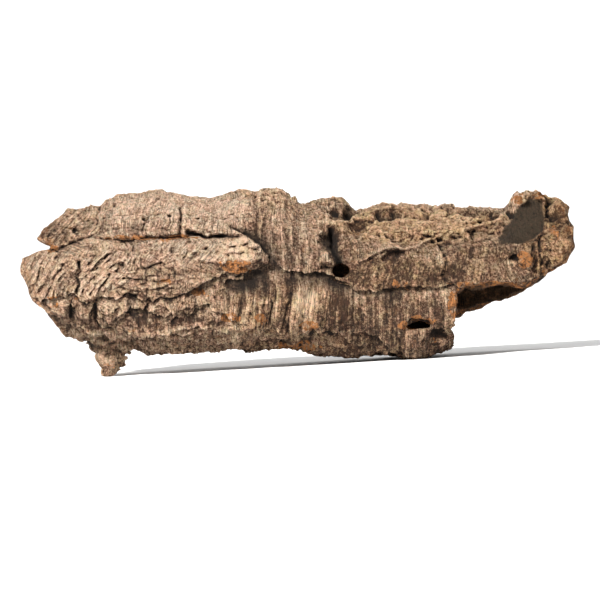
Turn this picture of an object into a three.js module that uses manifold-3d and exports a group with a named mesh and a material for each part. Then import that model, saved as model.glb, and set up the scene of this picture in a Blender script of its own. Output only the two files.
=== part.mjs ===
// Cork bark tube: the bark of a cork oak branch, peeled off whole as one hollow, open-ended roll.
// Millimetres, +Z up, X along the tube, -Y towards the side that shows in the photograph.
// The tube is shaped as it was photographed, then turned a little so that it lies on its own low points.

import * as THREE from "three";
import { mergeVertices } from "three/addons/utils/BufferGeometryUtils.js";
import Module from "manifold-3d";

const wasm = await Module();
wasm.setup();

// Driving dimensions
const tubeLength = 300;
const wallThickness = 13;
const thinnestWall = 4.5;
const lipLength = 15; // how far from an end the bark starts to round over
const lipShare = 0.5; // where in the wall, from the bore outwards, the rounded ends meet
const lipBlunt = 0.05; // how blunt that meeting is, as a share of the wall
const boreRipple = { height: 1.2, lobes: 3, turnEvery: 40 }; // how the bore wanders from a plain oval
const boreReach = { from: 70, to: 540, spread: 18 }; // the stretch, in pixels, that the bore follows
const layTilt = 3.5; // degrees that the photographed tube turns to lie on its low points
const footTrim = 1.2; // how much of the lowest points is worn flat
const floorDepth = 40;

// Traced positions are in the photograph's 600 pixel frame and turned to millimetres here
const photoLength = 549;
const photoMiddle = { x: 296.5, y: 280 };
const pixel = tubeLength / photoLength;
const across = (px) => (px - photoMiddle.x) * pixel;
const upward = (py) => (photoMiddle.y - py) * pixel;

// How finely the skin is divided: stations along the outside and inside, and steps round it
const outsideStations = 61;
const insideStations = 14;
const roundSteps = 72;
const frontCrowding = 0.3; // draws the steps round the tube towards the side that shows
const endCrowding = 0.35; // draws the stations towards the two ends

// Lumps of the bark: how coarse and how high in millimetres, and how much finer they are round the tube
const barkLumps = [
  { cell: 17, height: 1.3, finer: 1.6 },
  { cell: 8, height: 0.9, finer: 1.4 },
];

// Top and bottom of the tube in the photograph, as [x, y]
const topLine = [
  [20, 224], [50, 219], [60, 215], [80, 209], [102, 206], [110, 199], [120, 194], [163, 190],
  [190, 197], [212, 199], [222, 194], [240, 189], [272, 187], [284, 190], [300, 203], [342, 200],
  [355, 210], [390, 204], [430, 210], [445, 206], [505, 208], [513, 196], [525, 191], [540, 196],
  [548, 199], [558, 198], [571, 203],
];
const bottomLine = [
  [20, 322], [50, 332], [66, 338], [95, 340], [130, 348], [152, 354], [190, 350], [240, 349],
  [300, 351], [345, 358], [380, 354], [440, 352], [480, 338], [520, 322], [571, 300],
];

// How far the tube reaches towards the camera and away from it, as [x in pixels, millimetres]
const frontReach = [
  [20, 33], [60, 38], [120, 42], [200, 44], [262, 45], [300, 41], [350, 39], [440, 41], [500, 37],
  [540, 33], [571, 29],
];
const backReach = [
  [20, 30], [60, 36], [130, 41], [210, 44], [270, 42], [330, 44], [400, 41], [470, 39], [530, 35],
  [571, 30],
];
// Squareness of the section's upper front quarter: 2 is an ellipse, less is a straight slope
const frontShoulder = [[20, 2.2], [250, 2.3], [310, 2], [360, 1.7], [500, 1.65], [530, 2.1], [571, 2.2]];
const roundSection = 2.15;
const frontFade = 0.3; // the front's cracks and forms fade out where the section turns away this far
const formRoundness = 0.8;

// Where each end stops, as [degrees round the tube from the front over the top, x in pixels]
const leftEnd = [
  [-180, 84], [-150, 70], [-120, 84], [-90, 64], [-62, 48], [-40, 35], [-22, 26], [0, 21], [16, 27],
  [24, 44], [29, 58], [34, 50], [42, 41], [60, 47], [76, 56], [90, 66], [120, 84], [150, 66], [180, 84],
];
const rightEnd = [
  [-180, 560], [-120, 540], [-60, 545], [-20, 561], [8, 570], [30, 571], [40, 566], [58, 566],
  [90, 568], [125, 556], [150, 566], [180, 560],
];

// Cracks of the side that shows: the bark swells over `above` and `below` millimetres to full height
const frontCracks = [
  { path: [[44, 246], [60, 251], [72, 242], [100, 233], [122, 240], [180, 239], [205, 235], [256, 239]],
    depth: 9.5, above: 12, below: 12 },
  { path: [[256, 239], [267, 252], [272, 269], [292, 276], [334, 280]], depth: 8, above: 5, below: 13 },
  { path: [[328, 290], [372, 297], [395, 294], [452, 292]], depth: 8, above: 7, below: 10 },
  { path: [[46, 304], [76, 297], [110, 301], [170, 301], [203, 293], [226, 284], [264, 281]],
    depth: 9, above: 5, below: 15 },
  { path: [[88, 322], [118, 320], [142, 312], [172, 314], [192, 317], [211, 311], [238, 321]],
    depth: 6.5, above: 4, below: 10 },
  { path: [[222, 328], [256, 330], [284, 336], [300, 337], [325, 331], [357, 341], [402, 346]],
    depth: 8, above: 4, below: 9 },
  { path: [[396, 300], [393, 320], [404, 344]], depth: 4, above: 5, below: 5 },
  { path: [[257, 192], [259, 238]], depth: 3.5, above: 5, below: 5 },
  { path: [[186, 203], [184, 238]], depth: 2.5, above: 5, below: 5 },
  { path: [[84, 262], [82, 298]], depth: 3.5, above: 6, below: 6 },
  { path: [[500, 246], [536, 242], [541, 262], [534, 280]], depth: 5, above: 5, below: 6 },
];

// Long furrows round the rest of the tube: degrees from the front, the stretch in pixels and the size.
// Each sways by `sway` degrees in a long wave and a short one, and fades over a stretch at both its ends.
const swayWaves = { long: 31, short: 11, shortShare: 0.4 };
const furrowFade = { outside: -12, inside: 25 };
const furrows = [
  { angle: 74, from: 330, to: 520, depth: 6, reach: 9, sway: 5 },
  { angle: 98, from: 60, to: 300, depth: 7, reach: 12, sway: 7 },
  { angle: 122, from: 200, to: 540, depth: 8, reach: 12, sway: 6 },
  { angle: 146, from: 50, to: 330, depth: 9, reach: 12, sway: 6 },
  { angle: 168, from: 150, to: 571, depth: 8, reach: 12, sway: 6 },
  { angle: 193, from: 50, to: 400, depth: 9, reach: 12, sway: 6 },
  { angle: 216, from: 260, to: 571, depth: 8, reach: 12, sway: 6 },
  { angle: 240, from: 60, to: 360, depth: 8, reach: 12, sway: 6 },
  { angle: 262, from: 180, to: 450, depth: 6, reach: 11, sway: 5 },
];

// Hollows (negative) and swellings of the side that shows: middle and half axes in pixels, height in mm
const frontForms = [
  { name: "under the raised plate's root", at: [225, 262], half: [34, 19], turn: 8, height: 4 },
  { name: "under the lifted plate", at: [262, 288], half: [24, 13], turn: 4, height: -4 },
  { name: "branch scar", at: [520, 220], half: [19, 25], turn: -14, height: -11 },
  { name: "scar's inner pit", at: [508, 216], half: [8, 10], turn: 0, height: -4 },
  { name: "right top bulb", at: [553, 211], half: [17, 14], turn: 0, height: 4 },
  { name: "right knob", at: [518, 258], half: [17, 14], turn: -20, height: 4.5 },
  { name: "notch in the crest", at: [388, 256], half: [12, 10], turn: 30, height: -4 },
  { name: "hollow over the hole", at: [338, 256], half: [16, 20], turn: 0, height: -5 },
  { name: "top hollow", at: [386, 213], half: [17, 8], turn: 8, height: -5 },
  { name: "second top hollow", at: [338, 212], half: [11, 8], turn: 0, height: -4 },
  { name: "third top hollow", at: [480, 213], half: [24, 7], turn: 6, height: -5 },
  { name: "left top hollow", at: [86, 222], half: [16, 9], turn: 16, height: -5 },
  { name: "chest of the lower plate", at: [300, 308], half: [60, 24], turn: 0, height: 4 },
  { name: "lower left swelling", at: [190, 336], half: [60, 14], turn: 0, height: 3 },
];

// Low points under the right half: the tube rests on these and its spur, as [x in pixels, y in millimetres]
const lowPoints = [
  { at: [405, -26], reach: 18, height: 10 },
  { at: [402, 25], reach: 19, height: 9 },
];

// The open break under the right end: front and back edges of what is left, as [x, y] in pixels
const breakFront = [[440, 296], [450, 293], [476, 284], [527, 285], [571, 258], [600, 240]];
const breakBack = [[440, 334], [455, 325], [480, 314], [510, 301], [527, 290], [560, 267], [600, 244]];
const breakSpan = { from: 449, to: 600 }; // along the tube, in pixels
const breakDepth = 44; // half the width between the break's two edges, in mm
const breakSide = 14; // how far past those edges the break runs, in mm
const breakFloor = -90; // height that the break runs down to, in mm
const breakDivisions = [14, 9, 16]; // along, across and up
const raggedEdge = { height: 1.2, cell: 7 }; // how far the sloping edges wander, and how coarsely, in mm
const raggedFace = { height: 3.2, cell: 8 }; // the same for the broken end below them

// Round hole through the front wall, and the slot in the broken block below the break
const boreHole = { at: [340, 270], radii: [4.9, 3.8], inset: 6, length: 30 };
const endSlot = { at: [432, 325], half: [29, 4.6], from: -50, to: -14 };
const cutterSides = 18;

// Flaps of bark that stand off the tube: the spur under the left end, and the plate that lifts off the front.
// Each has root and tip as [x in pixels, y in millimetres, height in pixels], and sizes in millimetres.
const flaps = [
  { root: [111, -9, 322], tip: [110, -6, 377], halfWidth: 14, halfDepth: 9, tipShare: 0.42, seed: 5 },
  { root: [205, -33, 263], tip: [269, -46, 260], halfWidth: 14, halfDepth: 10, tipShare: 0.36, seed: 31 },
];
const flapSides = 10;
const flapStations = 7;
const flapChips = { height: 0.2, alongFlap: 5.5, roundFlap: 2.2 }; // how deep, and how many a flap has

const lerp = THREE.MathUtils.lerp;
const clamp = THREE.MathUtils.clamp;

// Value of a traced line at x, straight between its points
function lineAt(line, x) {
  if (x <= line[0][0]) return line[0][1];
  const next = line.findIndex((point) => point[0] >= x);
  if (next < 0) return line[line.length - 1][1];
  const [x0, y0] = line[next - 1];
  const [x1, y1] = line[next];
  return lerp(y0, y1, (x - x0) / (x1 - x0));
}

// Whole numbers hashed to 0..1
function hash(i, j, k) {
  let h = Math.imul(i, 374761393) + Math.imul(j, 668265263) + Math.imul(k, 1274126177);
  h = Math.imul(h ^ (h >>> 13), 1103515245);
  return ((h ^ (h >>> 16)) >>> 0) / 4294967295;
}

// Smooth noise in -1..1 that is about `cell` millimetres coarse
function noise(x, y, z, cell) {
  const [u, v, w] = [x / cell, y / cell, z / cell];
  const [i, j, k] = [Math.floor(u), Math.floor(v), Math.floor(w)];
  const [a, b, c] = [u - i, v - j, w - k].map((t) => t * t * (3 - 2 * t));
  const row = (dj, dk) => lerp(hash(i, j + dj, k + dk), hash(i + 1, j + dj, k + dk), a);
  return 2 * lerp(lerp(row(0, 0), row(1, 0), b), lerp(row(0, 1), row(1, 1), b), c) - 1;
}

// Rounded shoulder of a ridge: 1 in the crack, falling to 0 once `reach` away from it
function shoulder(distance, reach) {
  const share = clamp(distance / reach, 0, 1);
  return 1 - Math.sqrt(1 - (1 - share) ** 2);
}

// Nearest distance from a point to a path in millimetres, and whether the point lies above it
function distanceToPath(path, x, z) {
  let best = { distance: Infinity, above: true };
  for (let i = 1; i < path.length; i++) {
    const a = new THREE.Vector2(across(path[i - 1][0]), upward(path[i - 1][1]));
    const along = new THREE.Vector2(across(path[i][0]), upward(path[i][1])).sub(a);
    const from = new THREE.Vector2(x, z).sub(a);
    const t = clamp(from.dot(along) / along.lengthSq(), 0, 1);
    const distance = from.clone().addScaledVector(along, -t).length();
    if (distance < best.distance) best = { distance, above: along.cross(from) >= 0 };
  }
  return best;
}

const axisHeight = (px) => upward((lineAt(topLine, px) + lineAt(bottomLine, px)) / 2);
const halfHeight = (px) => ((lineAt(bottomLine, px) - lineAt(topLine, px)) / 2) * pixel;

// Radius of the smooth section at a station, before any crack or hollow
function plainRadius(px, angle) {
  const towardsFront = Math.cos(angle) > 0;
  const depth = lineAt(towardsFront ? frontReach : backReach, px);
  const power = towardsFront && Math.sin(angle) > 0 ? lineAt(frontShoulder, px) : roundSection;
  const y = Math.abs(Math.cos(angle)) / depth;
  const z = Math.abs(Math.sin(angle)) / halfHeight(px);
  return (y ** power + z ** power) ** (-1 / power);
}

// What the cracks and forms of the side that shows add to the radius
function frontRelief(x, z, towardsFront) {
  if (towardsFront <= 0) return 0;
  let cut = 0;
  for (const crack of frontCracks) {
    const { distance, above } = distanceToPath(crack.path, x, z);
    cut = Math.max(cut, crack.depth * shoulder(distance, above ? crack.above : crack.below));
  }
  let raise = 0;
  for (const form of frontForms) {
    const turn = THREE.MathUtils.degToRad(form.turn);
    const from = new THREE.Vector2(x - across(form.at[0]), z - upward(form.at[1])).rotateAround(
      new THREE.Vector2(), -turn);
    const out = Math.hypot(from.x / (form.half[0] * pixel), from.y / (form.half[1] * pixel));
    if (out < 1) raise += form.height * (1 - out ** 2) ** formRoundness;
  }
  return (raise - cut) * THREE.MathUtils.smoothstep(towardsFront, 0, frontFade);
}

// What the long furrows of the hidden sides take off
function furrowRelief(px, angle, radius) {
  let cut = 0;
  for (const furrow of furrows) {
    const longWave = Math.sin(px / swayWaves.long + furrow.angle);
    const sway = furrow.sway * (longWave + swayWaves.shortShare * Math.sin(px / swayWaves.short));
    const turned = THREE.MathUtils.radToDeg(angle) - furrow.angle - sway;
    const off = Math.abs(((turned % 360) + 540) % 360 - 180);
    const inside = Math.min(px - furrow.from, furrow.to - px);
    const fade = THREE.MathUtils.smoothstep(inside, furrowFade.outside, furrowFade.inside);
    const distance = THREE.MathUtils.degToRad(off) * radius;
    cut = Math.max(cut, furrow.depth * fade * shoulder(distance, furrow.reach));
  }
  return -cut;
}

// What the low points under the tube add
function lowPointRelief(px, y, belowMiddle) {
  if (belowMiddle <= 0) return 0;
  let raise = 0;
  for (const { at, reach, height } of lowPoints) {
    const out = Math.hypot(across(px) - across(at[0]), y - at[1]) / reach;
    if (out < 1) raise = Math.max(raise, height * (1 - out ** 2));
  }
  return raise;
}

// Radius of the bore: a rippled oval that leaves the wall's thickness
function boreRadius(px, angle) {
  const middle = clamp(px, boreReach.from, boreReach.to);
  const near = [middle - boreReach.spread, middle, middle + boreReach.spread];
  const smooth = near.reduce((sum, at) => sum + plainRadius(at, angle), 0) / near.length;
  const ripple = Math.sin(boreRipple.lobes * angle + px / boreRipple.turnEvery);
  return smooth - wallThickness + boreRipple.height * ripple;
}

// Outer radius with all its relief
function barkRadius(px, angle) {
  const plain = plainRadius(px, angle);
  const x = across(px);
  const y = -plain * Math.cos(angle);
  const z = axisHeight(px) + plain * Math.sin(angle);
  let rough = 0;
  for (const lump of barkLumps) {
    rough += lump.height * noise(x, y * lump.finer, z * lump.finer, lump.cell);
  }
  const low = lowPointRelief(px, y, -Math.sin(angle));
  return plain + frontRelief(x, z, Math.cos(angle)) + furrowRelief(px, angle, plain) + low + rough;
}

// A point of the skin: `share` runs from the left end (0) to the right end (1)
function skinPoint(share, angle, inside) {
  const degrees = ((THREE.MathUtils.radToDeg(angle) + 540) % 360) - 180;
  const [left, right] = [lineAt(leftEnd, degrees), lineAt(rightEnd, degrees)];
  const px = lerp(left, right, share);
  const bore = boreRadius(px, angle);
  const bark = Math.max(barkRadius(px, angle), bore + thinnestWall);
  const fromEnd = Math.min(px - left, right - px) * pixel;
  const round = Math.sqrt(1 - (1 - clamp(fromEnd / lipLength, 0, 1)) ** 2);
  const lip = lerp(bore, bark, lipShare);
  const radius = lerp(lip, inside ? bore : bark, Math.max(round, lipBlunt));
  return new THREE.Vector3(across(px), -radius * Math.cos(angle), axisHeight(px) + radius * Math.sin(angle));
}

// The roll of bark as one closed ring, turned on a lathe and then moved out to its skin
function barkRoll() {
  const spaced = (i, count) => (1 - Math.cos((Math.PI * i) / (count - 1))) / 2;
  const shareOf = (i, count) => lerp(i / (count - 1), spaced(i, count), endCrowding);
  const rows = [];
  for (let i = 0; i < insideStations; i++) rows.push({ share: shareOf(i, insideStations), inside: true });
  for (let i = outsideStations - 1; i >= 0; i--) {
    rows.push({ share: shareOf(i, outsideStations), inside: false });
  }
  const profile = rows.map((row) => new THREE.Vector2(row.inside ? 1 : 2, row.share));
  profile.push(profile[0].clone());
  const ring = new THREE.LatheGeometry(profile, roundSteps);
  const position = ring.getAttribute("position");
  for (let step = 0; step <= roundSteps; step++) {
    const even = (2 * Math.PI * (step % roundSteps)) / roundSteps;
    const angle = even - frontCrowding * Math.sin(even);
    profile.forEach((_, row) => {
      const { share, inside } = rows[row % rows.length];
      const point = skinPoint(share, angle, inside);
      position.setXYZ(step * profile.length + row, point.x, point.y, point.z);
    });
  }
  return ring;
}

// What the break takes away: all that lies below its sloping edge, right of where it starts
function breakBlock() {
  const block = new THREE.BoxGeometry(1, 1, 1, ...breakDivisions);
  const position = block.getAttribute("position");
  for (let i = 0; i < position.count; i++) {
    const share = position.getX(i) + 0.5;
    const y = position.getY(i) * 2 * (breakDepth + breakSide);
    const px = lerp(breakSpan.from, breakSpan.to, share);
    const back = clamp((y + breakDepth) / (2 * breakDepth), 0, 1);
    const edge = upward(lerp(lineAt(breakFront, px), lineAt(breakBack, px), back));
    const up = position.getZ(i) + 0.5;
    const z = lerp(breakFloor, edge + raggedEdge.height * noise(across(px), y, 0, raggedEdge.cell), up);
    const x = across(px) + (share === 0 ? raggedFace.height * noise(0, y, z, raggedFace.cell) : 0);
    position.setXYZ(i, x, y, z);
  }
  return block;
}

function holeCutter() {
  const cutter = new THREE.CylinderGeometry(1, 1, boreHole.length, cutterSides);
  cutter.scale(boreHole.radii[0], 1, boreHole.radii[1]);
  const [px, py] = boreHole.at;
  return cutter.translate(across(px), boreHole.inset - lineAt(frontReach, px), upward(py));
}

function slotCutter() {
  const cutter = new THREE.CylinderGeometry(1, 1, endSlot.to - endSlot.from, cutterSides);
  cutter.scale(endSlot.half[0] * pixel, 1, endSlot.half[1] * pixel);
  const [px, py] = endSlot.at;
  return cutter.translate(across(px), (endSlot.from + endSlot.to) / 2, upward(py));
}

// A tapering flap with chipped sides, from its root inside the bark to its blunt tip
function flapBody(flap) {
  const pointAt = ([px, y, py]) => new THREE.Vector3(across(px), y, upward(py));
  const [root, tip] = [pointAt(flap.root), pointAt(flap.tip)];
  const body = new THREE.CylinderGeometry(1, flap.tipShare, 1, flapSides, flapStations);
  const along = tip.clone().sub(root);
  const depthways = new THREE.Vector3(0, -1, 0).projectOnPlane(along.clone().normalize()).normalize();
  const sideways = along.clone().cross(depthways).normalize();
  const position = body.getAttribute("position");
  for (let i = 0; i < position.count; i++) {
    const [side, down, deep] = [position.getX(i), 0.5 - position.getY(i), position.getZ(i)];
    const [u, v, w] = [side * flapChips.roundFlap, down * flapChips.alongFlap, deep * flapChips.roundFlap];
    const chip = 1 + flapChips.height * noise(u + flap.seed, v, w, 1);
    const point = root.clone().addScaledVector(along, down);
    point.addScaledVector(sideways, side * flap.halfWidth * chip);
    point.addScaledVector(depthways, -deep * flap.halfDepth * chip);
    position.setXYZ(i, point.x, point.y, point.z);
  }
  return body;
}

// A closed geometry as a solid: only its positions count, and shared vertices are merged
function solidOf(geometry) {
  const bare = geometry.clone();
  for (const name of Object.keys(bare.attributes)) if (name !== "position") bare.deleteAttribute(name);
  const merged = mergeVertices(bare, 1e-4);
  return new wasm.Manifold(new wasm.Mesh({
    numProp: 3,
    vertProperties: merged.getAttribute("position").array,
    triVerts: new Uint32Array(merged.index.array),
  }));
}

function geometryOf(solid) {
  const mesh = solid.getMesh();
  const geometry = new THREE.BufferGeometry();
  geometry.setAttribute("position", new THREE.BufferAttribute(mesh.vertProperties, mesh.numProp));
  geometry.setIndex(new THREE.BufferAttribute(mesh.triVerts, 1));
  return geometry;
}

// The whole tube, turned to lie on its low points, with those worn flat at Z = 0
function layDown(solid) {
  const geometry = geometryOf(solid).rotateY(THREE.MathUtils.degToRad(layTilt));
  geometry.computeBoundingBox();
  const { min, max } = geometry.boundingBox;
  geometry.translate(-(min.x + max.x) / 2, -(min.y + max.y) / 2, -min.z - footTrim);
  const floor = new THREE.BoxGeometry(2 * tubeLength, tubeLength, floorDepth);
  return solidOf(geometry).subtract(solidOf(floor.translate(0, 0, -floorDepth / 2)));
}

let roll = solidOf(barkRoll());
for (const flap of flaps) roll = roll.add(solidOf(flapBody(flap)));
roll = roll
  .subtract(solidOf(breakBlock()))
  .subtract(solidOf(holeCutter()))
  .subtract(solidOf(slotCutter()));
const pieces = layDown(roll).decompose();
const largest = pieces.sort((a, b) => b.volume() - a.volume())[0];

const bark = new THREE.MeshStandardMaterial({ color: 0x8c7256, roughness: 0.95, metalness: 0 });
const tube = new THREE.Mesh(geometryOf(largest).toNonIndexed(), bark);
tube.name = "cork_bark_tube";
tube.geometry.computeVertexNormals();

const group = new THREE.Group();
group.add(tube);

export default group;
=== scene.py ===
# Cork bark tube: a hollow roll of cork oak bark, shaped as a density field and meshed with OpenVDB.
import bpy
import math
import numpy as np
import openvdb
from mathutils import Matrix, Vector


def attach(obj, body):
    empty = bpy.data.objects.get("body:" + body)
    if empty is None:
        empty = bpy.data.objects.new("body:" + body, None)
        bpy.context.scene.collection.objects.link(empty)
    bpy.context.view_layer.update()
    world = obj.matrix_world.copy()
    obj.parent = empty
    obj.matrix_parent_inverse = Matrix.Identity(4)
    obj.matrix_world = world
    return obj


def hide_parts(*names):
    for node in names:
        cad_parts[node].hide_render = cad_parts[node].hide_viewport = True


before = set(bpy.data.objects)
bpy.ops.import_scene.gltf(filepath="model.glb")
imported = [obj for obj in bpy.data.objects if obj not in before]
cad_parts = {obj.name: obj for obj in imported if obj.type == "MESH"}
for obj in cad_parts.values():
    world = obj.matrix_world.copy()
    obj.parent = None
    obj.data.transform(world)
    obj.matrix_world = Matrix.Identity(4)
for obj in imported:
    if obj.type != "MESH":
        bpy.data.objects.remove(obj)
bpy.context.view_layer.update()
scene = bpy.context.scene
mm = 0.001

# The tube is shaped in the photo's pose, X to the right, Y away and Z up, and then laid down like the solid.
# Traced positions are in the photo's pixels, everything else is in millimetres.
photo = {"width": 600, "pixel": 300 / 549, "middleX": 296.5, "middleY": 280}
lay = {"tilt": math.radians(3.5), "shift": (-0.681, 2.982, 46.061)}
table = {"step": 0.6, "lowX": -154.0, "highX": 153.0, "turns": 960, "turnStep": 0.31,
         "lowY": -57.0, "highY": 54.0, "lowZ": -58.0, "highZ": 56.0}
wall = {"thickness": 13, "thinnest": 3, "least": 8, "lip": 10, "lipShare": 0.62, "blunt": 0.05,
        "ripple": 1.2, "lobes": 3, "turnEvery": 40, "boreFrom": 70, "boreTo": 540, "boreSpread": 18,
        "spread": (4, 4)}


def across(px):
    return (px - photo["middleX"]) * photo["pixel"]


def upward(py):
    return (photo["middleY"] - py) * photo["pixel"]


def pixelX(x):
    return x / photo["pixel"] + photo["middleX"]


def lineAt(line, px):
    return np.interp(px, [p[0] for p in line], [p[1] for p in line])


def smoothstep(value, low, high):
    t = np.clip((value - low) / (high - low), 0, 1)
    return t * t * (3 - 2 * t)


def lerp(a, b, t):
    return a + (b - a) * t


# Noise

def hashed(i, j, k):
    with np.errstate(over="ignore"):
        h = i * np.uint32(374761393) + j * np.uint32(668265263) + k * np.uint32(1274126177)
        h = (h ^ (h >> np.uint32(13))) * np.uint32(1103515245)
    return (h ^ (h >> np.uint32(16))).astype(np.float32) / np.float32(4294967295)


# Smooth value noise in -1..1
def noise(x, y, z, cell=1.0):
    parts = []
    for value in np.broadcast_arrays(x / cell, y / cell, z / cell):
        low = np.floor(value)
        t = (value - low).astype(np.float32)
        parts.append((low.astype(np.int64).astype(np.uint32), t * t * (3 - 2 * t)))
    (i, a), (j, b), (k, c) = parts
    one = np.uint32(1)
    out = 0
    for dk in (0, 1):
        plane = 0
        for dj in (0, 1):
            row = lerp(hashed(i, j + one * dj, k + one * dk), hashed(i + one, j + one * dj, k + one * dk), a)
            plane = plane + row * (b if dj else 1 - b)
        out = out + plane * (c if dk else 1 - c)
    return 2 * out - 1


def fractal(x, y, z, cell, octaves=3, rough=0.5):
    total, size = 0, 1
    for n in range(octaves):
        total = total + size * noise(x + 31.7 * n, y - 17.3 * n, z + 9.1 * n, cell / 2 ** n)
        size *= rough
    return total


# Angular chips: each cell has its own height in -1..1 and its own slope
def chips(x, y, z, cell, tilt=0.6):
    values = [v.astype(np.float32) for v in np.broadcast_arrays(x / cell, y / cell, z / cell)]
    corner = [np.floor(v) for v in values]
    nearest = np.full(values[0].shape, 1e6, np.float32)
    height = np.zeros(values[0].shape, np.float32)
    for step in np.ndindex(3, 3, 3):
        at = [(c + d - 1).astype(np.int64).astype(np.uint32) for c, d in zip(corner, step)]
        off = [v - (c + d - 1) - hashed(at[0] + np.uint32(7 * n), at[1], at[2])
               for n, (v, c, d) in enumerate(zip(values, corner, step))]
        distance = off[0] ** 2 + off[1] ** 2 + off[2] ** 2
        level = 2 * hashed(at[0], at[1] + np.uint32(91), at[2]) - 1
        slopes = [hashed(at[0], at[1], at[2] + np.uint32(57 + n)) - 0.5 for n in range(3)]
        level = level + tilt * 2 * sum(o * g for o, g in zip(off, slopes))
        closer = distance < nearest
        height = np.where(closer, level, height)
        nearest = np.where(closer, distance, nearest)
    return height


# What the photo shows

topLine = [
    [20, 224], [50, 219], [60, 215], [80, 209], [102, 206], [110, 199], [120, 194], [163, 190],
    [190, 197], [212, 199], [222, 194], [240, 189], [272, 187], [284, 190], [300, 203], [342, 200],
    [355, 210], [390, 204], [430, 210], [445, 206], [505, 208], [513, 196], [525, 191], [540, 196],
    [548, 199], [558, 198], [571, 203]]
bottomLine = [
    [20, 322], [50, 332], [66, 338], [95, 340], [130, 348], [152, 354], [190, 350], [240, 349],
    [300, 351], [345, 358], [380, 354], [440, 352], [480, 338], [520, 322], [571, 300]]
frontReach = [
    [20, 33], [60, 38], [120, 42], [200, 44], [262, 45], [300, 41], [350, 39], [440, 41], [500, 37],
    [540, 33], [571, 29]]
backReach = [
    [20, 30], [60, 36], [130, 41], [210, 44], [270, 42], [330, 44], [400, 41], [470, 39], [530, 35],
    [571, 30]]
frontShoulder = [[20, 2.2], [250, 2.3], [310, 2], [360, 1.7], [500, 1.65], [530, 2.1], [571, 2.2]]
frontSole = [[20, 2.1], [110, 2.3], [200, 2.8], [440, 3.0], [480, 2.6], [571, 2.2]]
roundSection = 2.15
leftEnd = [
    [-180, 84], [-150, 70], [-120, 84], [-90, 66], [-62, 55], [-40, 46], [-22, 36], [0, 26], [16, 29],
    [24, 45], [29, 58], [34, 50], [42, 41], [60, 47], [76, 56], [90, 66], [120, 84], [150, 66], [180, 84]]
rightEnd = [
    [-180, 560], [-120, 540], [-60, 545], [-20, 561], [8, 570], [30, 571], [40, 566], [58, 566],
    [90, 568], [125, 556], [150, 566], [180, 560]]


def crack(path, depth, above, below, hang=0, step=False):
    return {"path": path, "depth": depth, "above": above, "below": below, "hang": hang, "step": step}


def zone(at, halves, **bark):
    return at, halves, bark


# Cracks of the side that shows: the bark swells over `above` and `below` to full height, and the
# crack slants up under the bark above it by `hang` for each millimetre that it goes in. Below a step
# the bark lies back and only comes out again evenly.
frontCracks = [
    crack([[44, 246], [60, 251], [72, 242], [100, 233], [122, 240]], 4, 4, 8, 0.1),
    crack([[122, 240], [180, 239], [205, 235], [256, 239]], 4.2, 4, 9, 0.2),
    crack([[272, 271], [268, 258], [262, 247], [249, 238]], 5, 1.5, 14, step=True),
    crack([[268, 262], [276, 272], [292, 276], [314, 276], [334, 281]], 5.5, 2, 12, 0.6, step=True),
    crack([[328, 290], [372, 297], [395, 294], [405, 291], [452, 292]], 8, 4, 9, 1.0),
    crack([[46, 306], [60, 301], [76, 297], [92, 304], [110, 301], [132, 303], [170, 301], [203, 293],
          [226, 284], [264, 281]], 4.5, 2, 4.5, 0.35),
    crack([[198, 291], [213, 281], [228, 276], [250, 272], [269, 266]], 6, 1.5, 15, 0.6, step=True),
    crack([[112, 322], [122, 314], [142, 311], [160, 317], [172, 313], [192, 317], [206, 311], [222, 313],
          [238, 321]], 7.5, 1.5, 8, 0.35),
    crack([[52, 315], [72, 324], [92, 330], [112, 337], [132, 340]], 4.5, 1.5, 12, 0.4, step=True),
    crack([[140, 334], [165, 328], [200, 326], [226, 329]], 4.5, 1.5, 10, 0.5, step=True),
    crack([[222, 331], [256, 333], [284, 337], [300, 337], [325, 330], [357, 340], [402, 346]], 7, 2.5, 8,
          0.8),
    crack([[278, 284], [272, 300], [268, 325]], 2.6, 2, 2.5),
    crack([[295, 284], [288, 300], [282, 325]], 2.6, 2, 2.5),
    crack([[257, 192], [259, 238]], 0.8, 1, 5),
    crack([[186, 203], [184, 238]], 0.8, 1, 5),
    crack([[84, 262], [82, 298]], 1.8, 3, 5),
    crack([[101, 303], [99, 324]], 3.5, 3, 3),
    crack([[77, 302], [74, 318]], 3, 2.5, 2.5),
    crack([[126, 302], [119, 314]], 2.5, 2.5, 2.5),
    crack([[341, 266], [337, 256], [333, 244], [332, 228]], 7, 5, 6),
    crack([[444, 290], [438, 276], [441, 263], [436, 249]], 2.2, 3, 12, step=True),
    crack([[532, 280], [537, 262], [534, 246], [541, 222], [543, 200]], 2.4, 2, 16, step=True),
    crack([[527, 268], [527, 246]], 1.6, 1.2, 5, step=True),
]

# Crests that stand out of the front: cracks the other way round
frontCrests = [
    crack([[318, 264], [322, 254], [331, 253], [333, 262]], 3.5, 4, 4),
    crack([[62, 215], [84, 206], [102, 214], [104, 232]], 2.5, 4, 4),
    crack([[352, 241], [375, 235], [425, 234], [447, 233]], 2, 9, 3),
    crack([[368, 258], [384, 248], [402, 248], [441, 238], [475, 228], [502, 222]], 3, 10, 3),
]

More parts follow.
